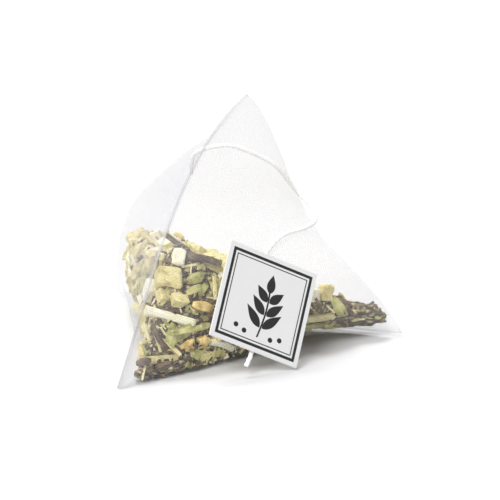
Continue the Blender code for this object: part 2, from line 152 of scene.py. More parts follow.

# The crumbs' relief and its scales, and the size and colours of their cells, from dark to light, and the
# painted shade in the gaps between them
CRUMB_RELIEF = 0.00018
CRUMB_SCALES = (1100.0, 2600.0)
CRUMB_CELLS = 1000.0
CRUMB_BROWNS = ((0.026, 0.016, 0.008), (0.30, 0.19, 0.09))
CRUMB_STRAWS = ((0.34, 0.29, 0.11), (0.72, 0.62, 0.32))
CRUMB_GAP_SHADE = (0.016, 0.010, 0.006)

# Nodes that aren't herbs
PACKAGING = ("bag", "string", "tag")

# The string's route from its cut end under the tag to its weld, from the bag's front corner
STRING_ROUTE = (
    (0.02537, 0.00900, 0.00212),
    (0.02655, 0.01117, 0.00478),
    (0.02735, 0.01450, 0.01003),
    (0.02835, 0.01844, 0.01617),
    (0.02915, 0.02151, 0.02094),
    (0.03051, 0.02342, 0.02306),
    (0.03318, 0.02583, 0.02476),
    (0.03718, 0.02931, 0.02510),
    (0.03940, 0.03300, 0.02570),
    (0.03900, 0.03650, 0.02740),
    (0.03700, 0.03900, 0.02900),
    (0.03481, 0.03952, 0.03137),
    (0.03161, 0.03982, 0.03535),
    (0.02800, 0.04041, 0.03747),
    (0.02528, 0.04069, 0.03859),
    (0.02210, 0.04087, 0.03955),
    (0.01893, 0.04151, 0.03923),
    (0.01686, 0.04208, 0.03857),
    (0.01487, 0.04309, 0.03731),
    (0.01409, 0.04505, 0.03511),
    (0.01388, 0.04736, 0.03216),
)

# Fineness of the string, the length in which its plies turn once, what its core, plies and wool add to
# its radius, and its tints
STRING_STEP = 0.00014
STRING_COLUMN = 0.00017
STRING_SIDES = 18
STRING_LAY = 0.0013
PLIES = 3
CORE_SHARE = 0.74
PLY_SHARE = 0.24
WOOL_SHARE = 0.05
STRING_TINTS = ((0.95, 0.945, 0.935), (0.99, 0.985, 0.975))

# The tag's print: its lower and upper face above the card, then, in shares of the tag's side, its
# borders' outer and inner half sides, its dots, and its stem and leaves
INK_FACES = (0.000004, 0.000016)
BORDERS = ((0.455, 0.425), (0.405, 0.395))
DOTS = ((-0.15, -0.33), (0.15, -0.33), (-0.25, -0.30), (0.25, -0.30))
DOT_RADIUS = 0.026
STEM_HALF = 0.009
LEAF_ROOT = 0.014
LEAF_WIDTH = 0.105

# Tints of the card, the ink and the floor, from dark to light
CARD_TINTS = ((0.745, 0.745, 0.74), (0.775, 0.775, 0.77))
INK_TINTS = ((0.012, 0.012, 0.013), (0.022, 0.022, 0.024))
FLOOR_TINTS = ((0.632, 0.632, 0.636), (0.644, 0.644, 0.648))

# The photograph's camera
LENS = 231.7
CAMERA_LIFT = math.radians(15.33)
CAMERA_DISTANCE = 0.650
CAMERA_AIM = Vector((0.028, 0.025, 0.020)) + Vector(SHIFT)
CAMERA_LEFT = 0.00188
CAMERA_UP = 0.00160

# The white room's colour and strength, and the lamps: name, direction towards it, strength and spread
ROOM_COLOUR = (0.99, 0.98, 1.0, 1.0)
ROOM_LIGHT = 0.40
STUDIO_LAMPS = (
    ("overhead", (-0.18, 0.42, 0.89), 2.25, 20.0),
    ("front_left", (-0.36, -0.54, 0.760), 2.65, 34.0),
)

# Finishes of the plant matter: name, dark, middle and light colour, and how much its fibres and its
# blotches count
HERB_LOOKS = (
    ("herb_root", (0.28, 0.20, 0.06), (0.74, 0.64, 0.27), (0.95, 0.89, 0.56), 0.8, 0.7),
    ("herb_pith", (0.80, 0.72, 0.44), (0.96, 0.93, 0.71), (0.98, 0.97, 0.86), 1.0, 0.4),
    ("herb_bark", (0.018, 0.011, 0.006), (0.115, 0.070, 0.033), (0.42, 0.30, 0.16), 1.0, 0.8),
    ("herb_leaf", (0.12, 0.11, 0.03), (0.48, 0.46, 0.15), (0.80, 0.78, 0.38), 0.8, 0.9),
    ("herb_straw", (0.36, 0.29, 0.10), (0.80, 0.71, 0.34), (0.94, 0.90, 0.58), 1.2, 0.4),
    ("herb_petal", (0.34, 0.19, 0.05), (0.76, 0.55, 0.18), (0.95, 0.84, 0.46), 0.6, 1.0),
)

# Small shreds: how far they narrow to their ends, then name, finish, size (length, width, height, bend,
# twist), pieces per square metre, smallest and largest scale, tilt, and room left to the larger pieces
SHRED_TAPER = 0.9
SHREDS = (
    ("straw_splinters", "herb_straw", (0.0068, 0.00090, 0.00060, 0.06, 0.5), 80000.0, 0.4, 1.2, 0.25, 0.0014),
    ("pale_splinters", "herb_pith", (0.0046, 0.00200, 0.00140, 0.03, 0.3), 50000.0, 0.4, 1.2, 0.30, 0.0016),
    ("leaf_shreds", "herb_leaf", (0.0048, 0.00230, 0.00025, 0.30, 1.2), 70000.0, 0.5, 1.2, 0.35, 0.0012),
    ("bark_shreds", "herb_bark", (0.0048, 0.00100, 0.00060, 0.10, 0.7), 110000.0, 0.4, 1.2, 0.25, 0.0010),
    ("root_crumbs", "herb_root", (0.0036, 0.00280, 0.00200, 0.00, 0.2), 90000.0, 0.4, 1.2, 0.50, 0.0016),
    ("petal_shreds", "herb_petal", (0.0032, 0.00150, 0.00022, 0.40, 1.2), 16000.0, 0.5, 1.1, 0.35, 0.0012),
    ("fine_bark", "herb_bark", (0.0024, 0.00060, 0.00040, 0.12, 0.6), 400000.0, 0.4, 1.1, 0.30, 0.0008),
    ("fine_straw", "herb_straw", (0.0030, 0.00040, 0.00032, 0.05, 0.5), 420000.0, 0.4, 1.2, 0.25, 0.0008),
    ("fine_leaf", "herb_leaf", (0.0020, 0.00100, 0.00020, 0.25, 1.0), 200000.0, 0.4, 1.1, 0.30, 0.0008),
)


# The camera


def place_camera():
    """The photograph's camera: a long lens a little above the table."""
    data = bpy.data.cameras.new("photo_camera")
    data.lens = LENS
    data.sensor_width = 36.0
    camera = bpy.data.objects.new("photo_camera", data)
    bpy.context.scene.collection.objects.link(camera)
    ahead = Vector((0.0, math.cos(CAMERA_LIFT), -math.sin(CAMERA_LIFT)))
    up = Vector((0.0, math.sin(CAMERA_LIFT), math.cos(CAMERA_LIFT)))
    aside = Vector((CAMERA_LEFT, 0, 0))
    camera.location = CAMERA_AIM - ahead * CAMERA_DISTANCE - aside + up * CAMERA_UP
    camera.rotation_euler = (math.pi / 2 - CAMERA_LIFT, 0.0, 0.0)
    data.clip_start = 0.01
    data.clip_end = 10.0
    bpy.context.scene.camera = camera


# The bag's shape


def bowed_line(start, end, bow, skew, t):
    """Point at t, from -1 at start to +1 at end, on a line that is bowed out in its middle."""
    t = np.asarray(t, float)[..., None]
    return (start + end) / 2 + (end - start) / 2 * t + bow * (1 - t ** 2) * (1 + skew * t)


def even_ellipse(half_x, half_y, count):
    """Cosines and sines of an ellipse's points, spaced evenly along its girth, and the girth."""
    fine = np.linspace(0.0, math.pi / 2, 181)
    run = np.hypot(np.diff(np.cos(fine)) * half_x, np.diff(np.sin(fine)) * half_y)
    run = np.concatenate([[0.0], np.cumsum(run)])
    quarter = count // 4
    rise = np.interp(np.arange(quarter) / quarter, run / run[-1], fine)
    fall = math.pi - np.append(rise[1:], math.pi / 2)[::-1]
    half = np.concatenate([rise, fall])
    angle = np.concatenate([half, half + math.pi])
    return np.cos(angle), np.sin(angle), 4 * run[-1]


def rest_on_floor(height):
    """Heights with all that lies below the floor pressed flat on it, through a short round bend."""
    bend = (height + FLOOR_BLEND) ** 2 / (4 * FLOOR_BLEND)
    pressed = np.where(height < FLOOR_BLEND, bend, height)
    return np.where(height < -FLOOR_BLEND, 0.0, pressed)


def bag_ring(along, sides):
    """One ring of the bag's skin, at a share from the front seal (0) to the back seal (1)."""
    size = SEAL_LENGTH
    front = [FRONT_CORNER * size, APEX * size, FRONT_SEAL_BOW * size, FRONT_SEAL_SKEW]
    back = [BACK_CORNER * size, RIGHT_CORNER * size, BACK_SEAL_BOW * size, 0.0]
    front_middle = bowed_line(*front, 0.0)
    back_middle = bowed_line(*back, 0.0)
    fin = SEAL_WIDTH / (size * TUBE_SHARE)
    body = min(max((along - fin) / (1 - 2 * fin), 0.0), 1.0)
    swell = math.sin(math.pi * body)
    opening = body * math.pi / 2 + OPENING_LEAD * math.sin(2 * math.pi * body)
    half_x, half_y = math.cos(opening), math.sin(opening)
    x, y, girth = even_ellipse(half_x, half_y, sides)
    grow = 4.0 / girth * (1 - GIRTH_LOSS * swell)
    flat = SEAL_THICKNESS / size
    reach_x = half_x * grow + flat * body
    reach_y = half_y * grow + flat * (1 - body)
    ring = front_middle * (1 - along) + back_middle * along
    ring = ring + MIDDLE_SHIFT * size * swell + ENDS_SHIFT * size * math.sin(2 * math.pi * body)
    ring = ring + reach_x * (bowed_line(*front, x) - front_middle)
    ring = ring + reach_y * (bowed_line(*back, y) - back_middle)
    for amount, way, side, place, length, around, reach in SWELLINGS:
        weight = swell * math.exp(-((body - place) / length) ** 2)
        weight = weight * np.exp(-((x - around) / reach) ** 2)
        weight = weight * np.clip(side * y, 0, 1) ** SWELLING_FADE
        ring = ring + (amount * size * weight)[:, None] * way
    ring[:, 2] = rest_on_floor(ring[:, 2])
    return ring + SHIFT


def skin_rings(rings, sides):
    """Rings of the skin, close together at the seals, with their shares along the bag."""
    fin = SEAL_WIDTH / (SEAL_LENGTH * TUBE_SHARE)
    shares = [0.0, fin / 2, fin]
    shares += [fin + (1 - 2 * fin) * k / rings for k in range(1, rings)]
    shares += [1 - fin, 1 - fin / 2, 1.0]
    return shares, np.array([bag_ring(share, sides) for share in shares])


def skin_faces(rows, sides):
    """Quads between neighbouring rings, and those that close the two flat ends."""
    quads = []
    for i in range(rows - 1):
        for j in range(sides):
            k = (j + 1) % sides
            near = i * sides
            quads.append((near + j, near + k, near + sides + k, near + sides + j))
    for first, turn in ((0, 0), ((rows - 1) * sides, sides // 4)):
        for j in range(sides // 2):
            ring = [turn + j, turn + j + 1, turn - j - 1, turn - j]
            quads.append(tuple(dict.fromkeys(first + n % sides for n in ring)))
    return quads


def facing_out(mesh):
    """Turns every face of a closed mesh outwards."""
    body = bmesh.new()
    body.from_mesh(mesh)
    bmesh.ops.recalc_face_normals(body, faces=body.faces)
    body.to_mesh(mesh)
    body.free()


def show(name, mesh, finish, body="root"):
    """Links a finished piece, gives it its material and makes it ride on the model."""
    piece = bpy.data.objects.new(name, mesh)
    bpy.context.scene.collection.objects.link(piece)
    mesh.materials.clear()
    mesh.materials.append(finish)
    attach(piece, body)
    return piece


def plain_mesh(piece):
    """A piece's evaluated mesh, with its modifiers worked in."""
    bpy.context.view_layer.update()
    depsgraph = bpy.context.evaluated_depsgraph_get()
    return bpy.data.meshes.new_from_object(piece.evaluated_get(depsgraph))


# Node helpers


def new_material(name):
    """A new material, with its nodes, its links and its shader."""
    made = bpy.data.materials.new(name)
    made.use_nodes = True
    nodes = made.node_tree.nodes
    return made, nodes, made.node_tree.links, nodes["Principled BSDF"]


def new_group(name, ins, outs):
    """A shader node group with named inputs, given with their defaults, and named outputs."""
    group = bpy.data.node_groups.new(name, "ShaderNodeTree")
    for label, kind, value in ins:
        made = group.interface.new_socket(label, in_out="INPUT", socket_type="NodeSocket" + kind)
        if value is not None:
            made.default_value = value
    for label, kind in outs:
        group.interface.new_socket(label, in_out="OUTPUT", socket_type="NodeSocket" + kind)
    start = group.nodes.new("NodeGroupInput")
    end = group.nodes.new("NodeGroupOutput")
    return group, start, end


def calc(tree, kind, a, b=None):
    """A math node of a kind, fed by sockets or numbers."""
    node = tree.nodes.new("ShaderNodeMath")
    node.operation = kind
    for place, value in enumerate((a, b)):
        if value is None:
            continue
        if isinstance(value, (int, float)):
            node.inputs[place].default_value = value
        else:
            tree.links.new(value, node.inputs[place])
    return node.outputs[0]


def blend_colour(tree, share, first, second):
    """A mix of two colours, each a socket or a tuple."""
    node = tree.nodes.new("ShaderNodeMix")
    node.data_type = "RGBA"
    for socket, value in ((node.inputs[0], share), (node.inputs[6], first), (node.inputs[7], second)):
        if isinstance(value, tuple):
            socket.default_value = (*value, 1.0)
        elif isinstance(value, (int, float)):
            socket.default_value = value
        else:
            tree.links.new(value, socket)
    return node.outputs[2]


def ramp(tree, value, low, high):
    """A value stretched from low and high to 0 and 1, and kept within them."""
    node = tree.nodes.new("ShaderNodeMapRange")
    node.inputs["From Min"].default_value = low
    node.inputs["From Max"].default_value = high
    tree.links.new(value, node.inputs["Value"])
    return node.outputs["Result"]


def speckle(tree, place, scale, detail, stretch=(1.0, 1.0, 1.0)):
    """A noise texture read at a place, stretched along its axes."""
    mapping = tree.nodes.new("ShaderNodeMapping")
    mapping.inputs["Scale"].default_value = stretch
    tree.links.new(place, mapping.inputs["Vector"])
    node = tree.nodes.new("ShaderNodeTexNoise")
    node.inputs["Scale"].default_value = scale
    node.inputs["Detail"].default_value = detail
    node.inputs["Roughness"].default_value = NOISE_ROUGHNESS
    tree.links.new(mapping.outputs[0], node.inputs["Vector"])
    return node.outputs[0]


def object_place(tree):
    """Object coordinates."""
    return tree.nodes.new("ShaderNodeTexCoord").outputs["Object"]


def own_attribute(tree, name, out="Vector"):
    """A value stored on the piece's own points."""
    node = tree.nodes.new("ShaderNodeAttribute")
    node.attribute_name = name
    return node.outputs[out]


def bump(tree, height, distance, shader, strength):
    """Feeds a height into a shader's normal."""
    node = tree.nodes.new("ShaderNodeBump")
    node.inputs["Strength"].default_value = strength
    node.inputs["Distance"].default_value = distance
    tree.links.new(height, node.inputs["Height"])
    tree.links.new(node.outputs[0], shader.inputs["Normal"])


# The woven mesh


def weave_group():
    """Square weave of fine round threads: how much they cover, and how high they stand."""
    ins = [("Place", "Vector", None), ("Pitch", "Float", WEAVE_PITCH), ("Thread", "Float", THREAD_SHARE)]
    group, start, end = new_group("fine_weave", ins, [("Cover", "Float"), ("Height", "Float")])
    apart = group.nodes.new("ShaderNodeSeparateXYZ")
    group.links.new(start.outputs["Place"], apart.inputs[0])
    threads = []
    for way in ("X", "Y"):
        turns = calc(group, "DIVIDE", apart.outputs[way], start.outputs["Pitch"])
        saw = calc(group, "FRACT", turns)
        off = calc(group, "ABSOLUTE", calc(group, "SUBTRACT", saw, 0.5))
        half = calc(group, "MULTIPLY", start.outputs["Thread"], 0.5)
        share = calc(group, "SUBTRACT", 1.0, calc(group, "DIVIDE", off, half))
        threads.append(share)
    top = calc(group, "MAXIMUM", threads[0], threads[1])
    cover = calc(group, "GREATER_THAN", top, 0.0)
    group.links.new(cover, end.inputs["Cover"])
    height = calc(group, "SQRT", calc(group, "MAXIMUM", top, 0.0))
    group.links.new(height, end.inputs["Height"])
    return group


def mesh_finish(weave):
    """White see-through mesh: woven threads with clear holes, denser at its welds and in its haze, greyed by
    painted shade at the fin and the rear.
    """
    made, nodes, links, shader = new_material("woven_mesh")
    tree = made.node_tree
    place = nodes.new("ShaderNodeUVMap")
    place.uv_map = "weave"
    cloth = nodes.new("ShaderNodeGroup")
    cloth.node_tree = weave
    links.new(place.outputs[0], cloth.inputs["Place"])
    clear = calc(tree, "MULTIPLY", cloth.outputs["Cover"], FILAMENT_WHITE)
    bloom = own_attribute(tree, "bloom", "Fac")
    cover = calc(tree, "ADD", clear, calc(tree, "MULTIPLY", bloom, calc(tree, "SUBTRACT", 1.0, clear)))
    links.new(cover, shader.inputs["Alpha"])
    cloud = speckle(tree, object_place(tree), 90.0, 2.0)
    tint = blend_colour(tree, ramp(tree, cloud, 0.35, 0.65), *MESH_TINTS)
    # Painted shade: the tint is greyed where the stored shade value is high, at the front fin and the rear
    # wall
    tint = blend_colour(tree, own_attribute(tree, "shade", "Fac"), tint, MESH_PAINTED_SHADE)
    links.new(tint, shader.inputs["Base Color"])
    shader.inputs["Roughness"].default_value = 0.42
    shader.inputs["Specular IOR Level"].default_value = 0.35
    bump(tree, cloth.outputs["Height"], 0.00003, shader, 0.5)
    return made


def woven_bag(finish):
    """The bag's skin with small crumples, its own weave map, its haze, and the painted shade stored at its
    fin and rear.
    """
    shares, rings = skin_rings(SKIN_RINGS, SKIN_SIDES)
    rows = len(shares)
    points = rings.reshape(-1, 3)
    faces = skin_faces(rows, SKIN_SIDES)
    mesh = bpy.data.meshes.new("bag_mesh")
    mesh.from_pydata([Vector(p) for p in points], [], faces)
    around_step = 2 * SEAL_LENGTH / SKIN_SIDES
    length = SEAL_LENGTH * TUBE_SHARE
    layer = mesh.uv_layers.new(name="weave")
    for face in mesh.polygons:
        columns = [mesh.loops[n].vertex_index % SKIN_SIDES for n in face.loop_indices]
        wraps = max(columns) - min(columns) > SKIN_SIDES / 2
        for n, column in zip(face.loop_indices, columns):
            row = mesh.loops[n].vertex_index // SKIN_SIDES
            if wraps and column < SKIN_SIDES / 2:
                column += SKIN_SIDES
            layer.data[n].uv = (column * around_step, shares[row] * length)
    fin = SEAL_WIDTH / length
    weld = fin * 0.99
    for name in ("bloom", "shade"):
        mesh.attributes.new(name, "FLOAT", "POINT")
    for n in range(len(points)):
        share, turn = shares[n // SKIN_SIDES], (n % SKIN_SIDES) / SKIN_SIDES
        welded = share < weld or share > 1 - weld
        behind = max(-math.sin(2 * math.pi * turn), 0.0) ** 0.5 * max(1.0 - share * REAR_FADE, 0.0)
        fin_side = max(1.0 - share / FIN_REACH, 0.0) * max(1.0 - points[n][2] / FIN_HEIGHT, 0.0)
        right = min(max((share - RIGHT_START) / RIGHT_RUN, 0.0), 1.0)
        high = min(max((points[n][2] - HAZE_START) / HAZE_RISE, 0.0), 1.0)
        haze = max(REAR_BLOOM * behind, FIN_BLOOM * fin_side, RIGHT_BLOOM * right, HIGH_BLOOM * high)
        # Painted shade: a grey for the front fin and the rear wall, stored on the skin's points
        painted_shade = min(max(FIN_PAINTED_SHADE * fin_side, REAR_PAINTED_SHADE * behind), 1.0)
        mesh.attributes["bloom"].data[n].value = WELD_WHITE if welded else haze
        mesh.attributes["shade"].data[n].value = painted_shade
    facing_out(mesh)
    normals = [v.normal.copy() for v in mesh.vertices]
    for v, normal in zip(mesh.vertices, normals):
        share = shares[v.index // SKIN_SIDES]
        body = math.sin(math.pi * min(max((share - fin) / (1 - 2 * fin), 0.0), 1.0)) ** 0.5
        amount = sum(noise.noise(v.co * scale) * height for scale, height in CRUMPLES)
        step = normal * amount * body
        v.co = v.co + (step if v.co.z > CRUMPLE_FLOOR else Vector((step.x, step.y, 0.0)) * CRUMPLE_REST)
    mesh.shade_smooth()
    piece = show("woven_bag", mesh, finish)
    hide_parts("bag")


# The herb blend


def fibre_group():
    """Plant matter: fibres along its own length, with blotches, as a shade from 0 to 1."""
    ins = [("Place", "Vector", None), ("Fibres", "Float", 1.0), ("Blotches", "Float", 0.5)]
    group, start, end = new_group("plant_fibre", ins, [("Shade", "Float"), ("Height", "Float")])
    place = start.outputs["Place"]
    fine = speckle(group, place, 5.5, 3.0, (0.16, 1.0, 1.0))
    coarse = speckle(group, place, 1.6, 2.0, (0.25, 1.0, 1.0))
    patch = speckle(group, object_place(group), 420.0, 2.0)
    streak = calc(group, "ADD", calc(group, "MULTIPLY", fine, 0.6), calc(group, "MULTIPLY", coarse, 0.4))
    streak = calc(group, "MULTIPLY", ramp(group, streak, 0.36, 0.64), start.outputs["Fibres"])
    spots = calc(group, "MULTIPLY", ramp(group, patch, 0.34, 0.66), start.outputs["Blotches"])
    total = calc(group, "ADD", start.outputs["Fibres"], start.outputs["Blotches"])
    group.links.new(calc(group, "DIVIDE", calc(group, "ADD", streak, spots), total), end.inputs["Shade"])
    group.links.new(fine, end.inputs["Height"])
    return group


def herb_finish(name, fibre, dark, middle, light, fibres, blotches):
    """One kind of dried plant matter, from its dark streaks to its light ones."""
    made, nodes, links, shader = new_material(name)
    tree = made.node_tree
    plant = nodes.new("ShaderNodeGroup")
    plant.node_tree = fibre
    plant.inputs["Fibres"].default_value = fibres
    plant.inputs["Blotches"].default_value = blotches
    links.new(own_attribute(tree, "grain"), plant.inputs["Place"])
    low = ramp(tree, plant.outputs["Shade"], 0.0, 0.5)
    high = ramp(tree, plant.outputs["Shade"], 0.5, 1.0)
    colour = blend_colour(tree, high, blend_colour(tree, low, dark, middle), light)
    links.new(colour, shader.inputs["Base Color"])
    rough = calc(tree, "ADD", calc(tree, "MULTIPLY", plant.outputs["Shade"], 0.15), 0.68)
    links.new(rough, shader.inputs["Roughness"])
    bump(tree, plant.outputs["Height"], 0.00012, shader, 0.9)
    return made


def mark_grain(mesh, seed):
    """Stores each point's place along and across its own piece, in millimetres, for the fibres."""
    points = np.array([v.co for v in mesh.vertices])
    centre = points.mean(axis=0)
    _, _, axes = np.linalg.svd(points - centre, full_matrices=False)
    local = (points - centre) @ axes.T * 1000 + seed * 7.3
    data = mesh.attributes.new("grain", "FLOAT_VECTOR", "POINT")
    data.data.foreach_set("vector", local.astype(np.float32).ravel())


def crumb_finish():
    """Fine crumbs packed together: small cells, each its own brown or straw, with painted shade in the gaps
    between them.
    """
    made, nodes, links, shader = new_material("fine_crumbs")
    tree = made.node_tree
    mapping = nodes.new("ShaderNodeMapping")
    mapping.inputs["Scale"].default_value = (0.75, 1.0, 1.5)
    links.new(object_place(tree), mapping.inputs["Vector"])
    cells = nodes.new("ShaderNodeTexVoronoi")
    cells.inputs["Scale"].default_value = CRUMB_CELLS
    links.new(mapping.outputs[0], cells.inputs["Vector"])
    apart = nodes.new("ShaderNodeSeparateColor")
    links.new(cells.outputs["Color"], apart.inputs[0])
    brown = blend_colour(tree, apart.outputs[0], *CRUMB_BROWNS)
    pale = blend_colour(tree, apart.outputs[2], *CRUMB_STRAWS)
    both = blend_colour(tree, ramp(tree, apart.outputs[1], 0.48, 0.54), brown, pale)
    # Painted shade: near-black where the cells meet, for the shadow between the packed crumbs
    gap_shade = ramp(tree, cells.outputs["Distance"], 0.30, 0.75)
    links.new(blend_colour(tree, gap_shade, both, CRUMB_GAP_SHADE), shader.inputs["Base Color"])
    shader.inputs["Roughness"].default_value = 0.85
    bump(tree, calc(tree, "SUBTRACT", 1.0, cells.outputs["Distance"]), 0.0004, shader, 1.0)
    return made


def rough_piece(node, jitter, seed):
    """A copy of a herb solid, merged, cut finer and roughened as dried pieces are."""
    body = bmesh.new()
    body.from_mesh(frame["nodes"][node].data)
    bmesh.ops.remove_doubles(body, verts=body.verts, dist=MERGE_GAP)
    bmesh.ops.dissolve_limit(body, angle_limit=FLAT_ANGLE, verts=body.verts, edges=body.edges)
    bmesh.ops.triangulate(body, faces=body.faces)
    for _ in range(ROUGH_LEVELS):
        longest = [e for e in body.edges if e.calc_length() > ROUGH_EDGE]
        bmesh.ops.subdivide_edges(body, edges=longest, cuts=1)
        bmesh.ops.triangulate(body, faces=body.faces)
    body.normal_update()
    away = Vector((seed * 3.1, seed * 1.7, seed * 2.3))
    coarse, fine = ROUGH_SCALES
    for v in body.verts:
        amount = noise.noise(v.co * coarse + away) + 0.5 * noise.noise(v.co * fine + away)
        v.co = v.co + v.normal * amount * jitter
    mesh = bpy.data.meshes.new(node + "_piece")
    body.to_mesh(mesh)
    body.free()
    mark_grain(mesh, seed)
    mesh.shade_smooth()
    return mesh


def herb_pieces(finishes):
    """Every larger herb piece in its own finish, roughened after its kind."""
    slots = {p["node"]: p["material_slot"] for p in frame["record"]["subparts"]}
    for seed, node in enumerate(sorted(frame["nodes"])):
        slot = slots[node]
        if not slot.startswith("herb_"):
            continue
        chunky = "chunk" in node or "root" in node or "block" in node
        jitter = FLOWER_JITTER if "flower" in node else CHUNK_JITTER if chunky else STALK_JITTER
        mesh = rough_piece(node, jitter, seed)
        piece = show(node + "_dried", mesh, finishes[slot])
        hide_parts(node)


# The crumb bed


def heap_top(x):
    """Height that the heap reaches at a distance to the right of the front corner."""
    return HEAP_LEFT + (HEAP_RIGHT - HEAP_LEFT) * min(max(x, 0.0) / HEAP_RUN, 1.0)


def seen_nodes():
    """The larger herb pieces that show through the mesh."""
    return [n for n in sorted(frame["nodes"]) if n not in PACKAGING and "_inside_" not in n]


def bed_depth(x, z):
    """How far the crumbs stay behind the mesh: less in the flat right corner and at the floor."""
    corner = min(max((x - CORNER_START) / CORNER_RUN, 0.0), 1.0)
    floor = min(max(1.0 - (z - FLOOR_START) / FLOOR_RUN, 0.0), 1.0)
    return BED_DEPTH + (CORNER_DEPTH - BED_DEPTH) * max(corner, floor)


def wall_mesh():
    """The bag's skin in few faces, for keeping the herbs off it."""
    shares, rings = skin_rings(WALL_RINGS, WALL_SIDES)
    mesh = bpy.data.meshes.new("bag_walls")
    mesh.from_pydata([Vector(p) for p in rings.reshape(-1, 3)], [], skin_faces(len(shares), WALL_SIDES))
    facing_out(mesh)
    return mesh


def wall_tree(mesh):
    """Search tree of the bag's skin."""
    return BVHTree.FromPolygons([v.co for v in mesh.vertices], [tuple(p.vertices) for p in mesh.polygons])


def bed_points():
    """Grid of points that fills the bag's lower part, off its walls, and props the larger pieces."""
    mesh = wall_mesh()
    walls = wall_tree(mesh)
    corners = np.array([v.co for v in mesh.vertices])
    seats = [((low[0] + high[0]) / 2, (low[1] + high[1]) / 2, low[2])
             for low, high in map(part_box, seen_nodes())]
    low, high = corners.min(axis=0), corners.max(axis=0)
    points = []
    for x in np.arange(low[0], high[0], BED_GRID):
        top = heap_top(x - SHIFT[0])
        for y in np.arange(low[1], high[1], BED_GRID):
            ripple = RIPPLE_HEIGHT * noise.noise(Vector((x, y, 0.0)) * RIPPLE_SCALE)
            piled = max(height - PILE_SLOPE * math.hypot(seat_x - x, seat_y - y)
                        for seat_x, seat_y, height in seats)
            for z in np.arange(CORNER_DEPTH, max(top + ripple, piled), BED_GRID):
                spot = Vector((x, y, z))
                above = walls.ray_cast(spot, Vector((0, 0, 1)))
                if above[0] is None or above[1].z < 0:
                    continue
                nearest, normal, _, gap = walls.find_nearest(spot)
                inside = (spot - nearest).dot(normal) < 0
                propped = z >= top + ripple and x - SHIFT[0] > PROP_START
                needed = PROP_DEPTH if propped else bed_depth(x - SHIFT[0], z)
                if inside and gap > needed:
                    points.append(spot)
    return points


def crumb_bed(finish):
    """The fine crumbs as one lumpy body, made from points by way of a volume."""
    points = bed_points()
    seed_mesh = bpy.data.meshes.new("bed_points")
    seed_mesh.from_pydata(points, [], [])
    seed = bpy.data.objects.new("bed_points", seed_mesh)
    bpy.context.scene.collection.objects.link(seed)
    tree = bpy.data.node_groups.new("crumb_body", "GeometryNodeTree")
    tree.interface.new_socket("Geometry", in_out="INPUT", socket_type="NodeSocketGeometry")
    radius = tree.interface.new_socket("Crumb radius", in_out="INPUT", socket_type="NodeSocketFloat")
    tree.interface.new_socket("Geometry", in_out="OUTPUT", socket_type="NodeSocketGeometry")
    start = tree.nodes.new("NodeGroupInput")
    end = tree.nodes.new("NodeGroupOutput")
    dots = tree.nodes.new("GeometryNodeMeshToPoints")
    fog = tree.nodes.new("GeometryNodePointsToVolume")
    fog.resolution_mode = "VOXEL_SIZE"
    fog.inputs["Voxel Size"].default_value = BED_GRID * 0.5
    solid = tree.nodes.new("GeometryNodeVolumeToMesh")
    whole = tree.nodes.new("GeometryNodeRealizeInstances")
    coat = tree.nodes.new("GeometryNodeSetMaterial")
    coat.inputs["Material"].default_value = finish
    tree.links.new(start.outputs["Geometry"], dots.inputs["Mesh"])
    tree.links.new(dots.outputs[0], fog.inputs["Points"])
    tree.links.new(start.outputs["Crumb radius"], fog.inputs["Radius"])
    tree.links.new(fog.outputs[0], solid.inputs["Volume"])
    tree.links.new(solid.outputs[0], whole.inputs[0])
    tree.links.new(whole.outputs[0], coat.inputs["Geometry"])
    tree.links.new(coat.outputs[0], end.inputs[0])
    growth = seed.modifiers.new("crumb_body", "NODES")
    growth.node_group = tree
    growth[radius.identifier] = CRUMB_RADIUS
    mesh = plain_mesh(seed)
    bpy.data.objects.remove(seed)
    body = bmesh.new()
    body.from_mesh(mesh)
    coarse, fine = CRUMB_SCALES
    for v, normal in [(v, v.normal.copy()) for v in body.verts]:
        amount = noise.noise(v.co * coarse) + 0.6 * noise.noise(v.co * fine)
        v.co = v.co + normal * amount * CRUMB_RELIEF
    body.to_mesh(mesh)
    body.free()
    mesh.name = "crumb_bed"
    mark_grain(mesh, 1)
    mesh.shade_smooth()
    return show("crumb_bed", mesh, finish)


def splinter(length, width, height, bend, twist):
    """One small shred as a bent, twisted bar with tapered ends."""
    body = bmesh.new()
    bmesh.ops.create_cube(body, size=1.0)
    lengthways = [e for e in body.edges if abs(e.verts[0].co.x - e.verts[1].co.x) > 0.5]
    bmesh.ops.subdivide_edges(body, edges=lengthways, cuts=2, use_grid_fill=True)
    for v in body.verts:
        along, side, up = v.co
        slim = 1.0 - SHRED_TAPER * (abs(along) ** 2)
        offset = Matrix.Rotation(twist * along, 3, "X") @ Vector((0, side * width * slim, up * height))
        v.co = Vector((along * length, 0, bend * length * (0.25 - along * along))) + offset
    mesh = bpy.data.meshes.new("shred")
    body.to_mesh(mesh)
    body.free()
    mark_grain(mesh, length * 1000)
    piece = bpy.data.objects.new("shred", mesh)
    bpy.context.scene.collection.objects.link(piece)
    return piece


